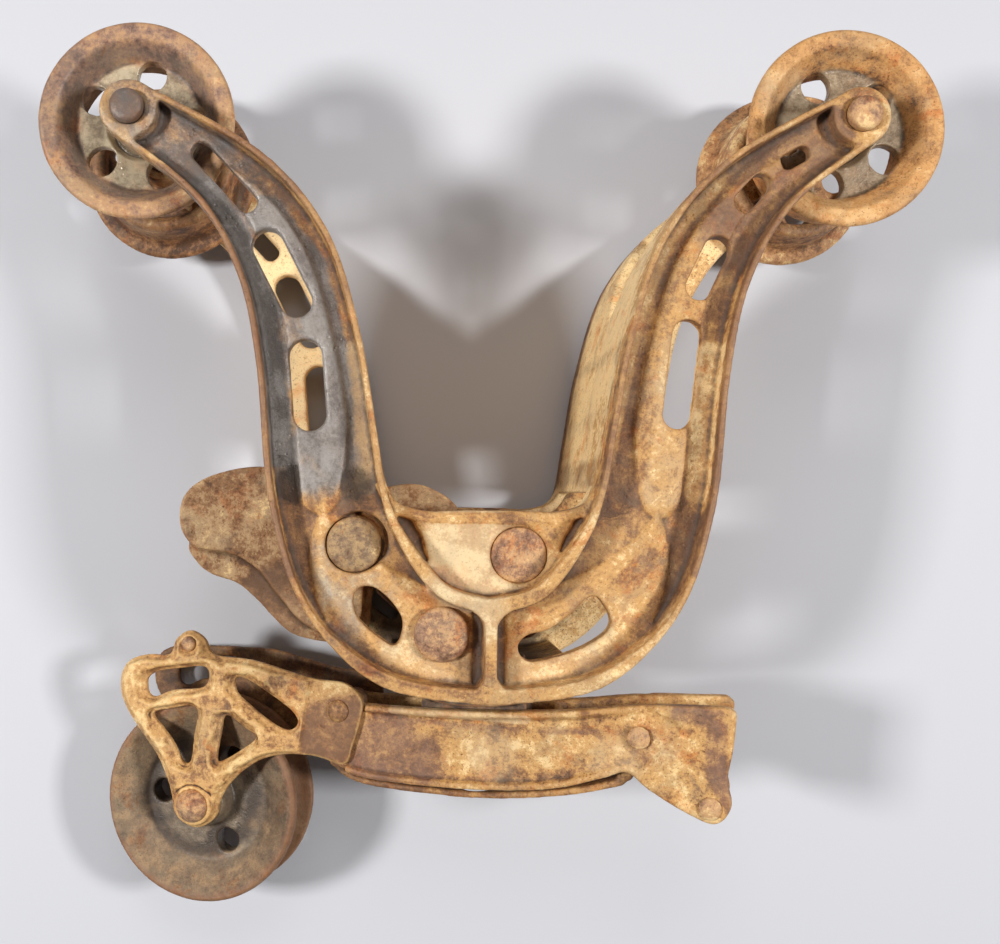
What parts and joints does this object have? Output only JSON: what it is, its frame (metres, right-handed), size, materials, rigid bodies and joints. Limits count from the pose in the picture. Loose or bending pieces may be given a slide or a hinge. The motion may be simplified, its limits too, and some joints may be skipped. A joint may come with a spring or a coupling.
{
  "type": "hay trolley",
  "caption": "Lyre-shaped cast iron hay carrier: flanged track wheels on its arm ends, stop and trip levers in its body, and a swivelling carriage with lattice brackets and a rope sheave.",
  "frame": {"origin": "on the track line under the wheel treads, midway between the axles and between the side castings", "axes": "+X along the track, +Y up in use, +Z along the wheel axles; the trolley lies on its far side castings"},
  "size_m": [0.479, 0.4915, 0.164],
  "materials": {
    "casting": "rusted, rough",
    "pin": "rusted, rough",
    "wheel": "rusted, rough",
    "lever": "rusted, rough",
    "swivel": "rusted, rough",
    "bracket": "rusted, rough",
    "sheave": "rusted, rough"
  },
  "bodies": {
    "frame": {"near_side_frame": "casting", "far_side_frame": "casting", "catch_pin": "pin", "hook_pin": "pin", "trip_pin": "pin", "axle_studs": "pin", "axle_washers": "pin"},
    "swivel": {"swivel_stem": "swivel", "near_cheek": "swivel", "far_cheek": "swivel", "mouth_guide": "swivel", "cheek_rivet": "pin", "becket_pin": "pin", "near_bracket": "bracket", "far_bracket": "bracket", "bracket_bolt": "pin", "lug_rivet": "pin", "sheave_axle": "pin"},
    "sheave": {"rope_sheave": "sheave"},
    "catch": {"stop_catch": "lever"},
    "trip": {"trip_lever": "lever"},
    "hook": {"pulley_hook": "lever"},
    "wheel_near_left": {"wheel_near_left": "wheel"},
    "wheel_near_right": {"wheel_near_right": "wheel"},
    "wheel_far_left": {"wheel_far_left": "wheel"},
    "wheel_far_right": {"wheel_far_right": "wheel"}
  },
  "joints": [
    {"name": "wheel_near_left_spin", "type": "hinge", "parent": "frame", "child": "wheel_near_left", "pos_m": [-0.1875, 0.042, 0], "axis": [0, 0, 1], "continuous": true},
    {"name": "wheel_near_right_spin", "type": "hinge", "parent": "frame", "child": "wheel_near_right", "pos_m": [0.1875, 0.042, 0], "axis": [0, 0, 1], "continuous": true},
    {"name": "wheel_far_left_spin", "type": "hinge", "parent": "frame", "child": "wheel_far_left", "pos_m": [-0.1875, 0.042, 0], "axis": [0, 0, 1], "continuous": true},
    {"name": "wheel_far_right_spin", "type": "hinge", "parent": "frame", "child": "wheel_far_right", "pos_m": [0.1875, 0.042, 0], "axis": [0, 0, 1], "continuous": true},
    {"name": "catch_rock", "type": "hinge", "parent": "frame", "child": "catch", "pos_m": [-0.07, -0.18, 0], "axis": [0, 0, 1], "range_deg": [-8, 0]},
    {"name": "trip_tilt", "type": "hinge", "parent": "frame", "child": "trip", "pos_m": [-0.0245, -0.2255, 0], "axis": [0, 0, 1], "range_deg": [0, 16]},
    {"name": "hook_swing", "type": "hinge", "parent": "frame", "child": "hook", "pos_m": [0.015, -0.1845, 0], "axis": [0, 0, 1], "range_deg": [-12, 14]},
    {"name": "swivel_turn", "type": "hinge", "parent": "frame", "child": "swivel", "pos_m": [0, -0.26, 0], "axis": [0, 1, 0], "range_deg": [-165, 195]},
    {"name": "sheave_spin", "type": "hinge", "parent": "swivel", "child": "sheave", "pos_m": [-0.15793, -0.3375, -0.04232], "axis": [-0.2588, 0, 0.9659], "continuous": true}
  ],
  "couplings": [
    {"joint": "trip_tilt", "follows": "catch_rock", "ratio": -2}
  ]
}
